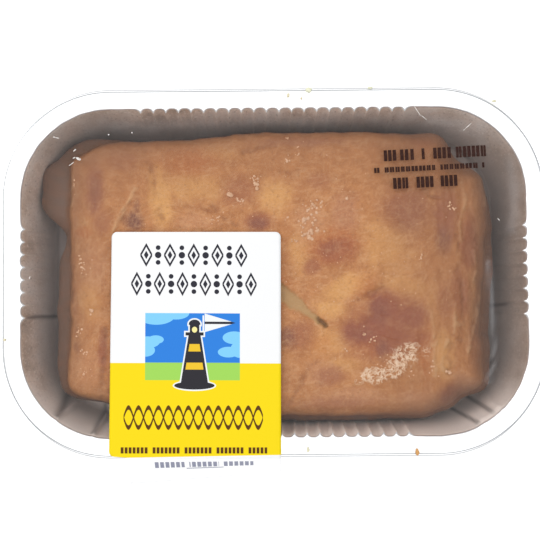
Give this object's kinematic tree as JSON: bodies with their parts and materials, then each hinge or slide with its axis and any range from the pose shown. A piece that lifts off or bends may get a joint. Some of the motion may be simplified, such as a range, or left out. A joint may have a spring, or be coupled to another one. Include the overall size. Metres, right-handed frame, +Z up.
{
  "type": "packed kouign amann",
  "caption": "Rectangular butter cake with rounded corners, sealed in a fluted foil tray under a clear lid film, with a paper label folded over the front rim.",
  "frame": {"origin": "middle of the flat underside of the foil tray", "axes": "+X along the long side of the tray, to the right seen from the front; +Y to the back, away from the side where the label folds down; +Z up"},
  "size_m": [0.2062, 0.1524, 0.0391],
  "materials": {
    "foil": "drawn smooth-wall foil, satin",
    "crust": "baked golden-brown crust with caramelised butter and sugar, soft gloss",
    "film": "clear lidding film, slightly hazy, glossy",
    "label": "coated printed paper"
  },
  "bodies": {
    "root": {"tray": "foil", "kouign_amann": "crust", "lid_film": "film", "label": "label"}
  },
  "joints": []
}
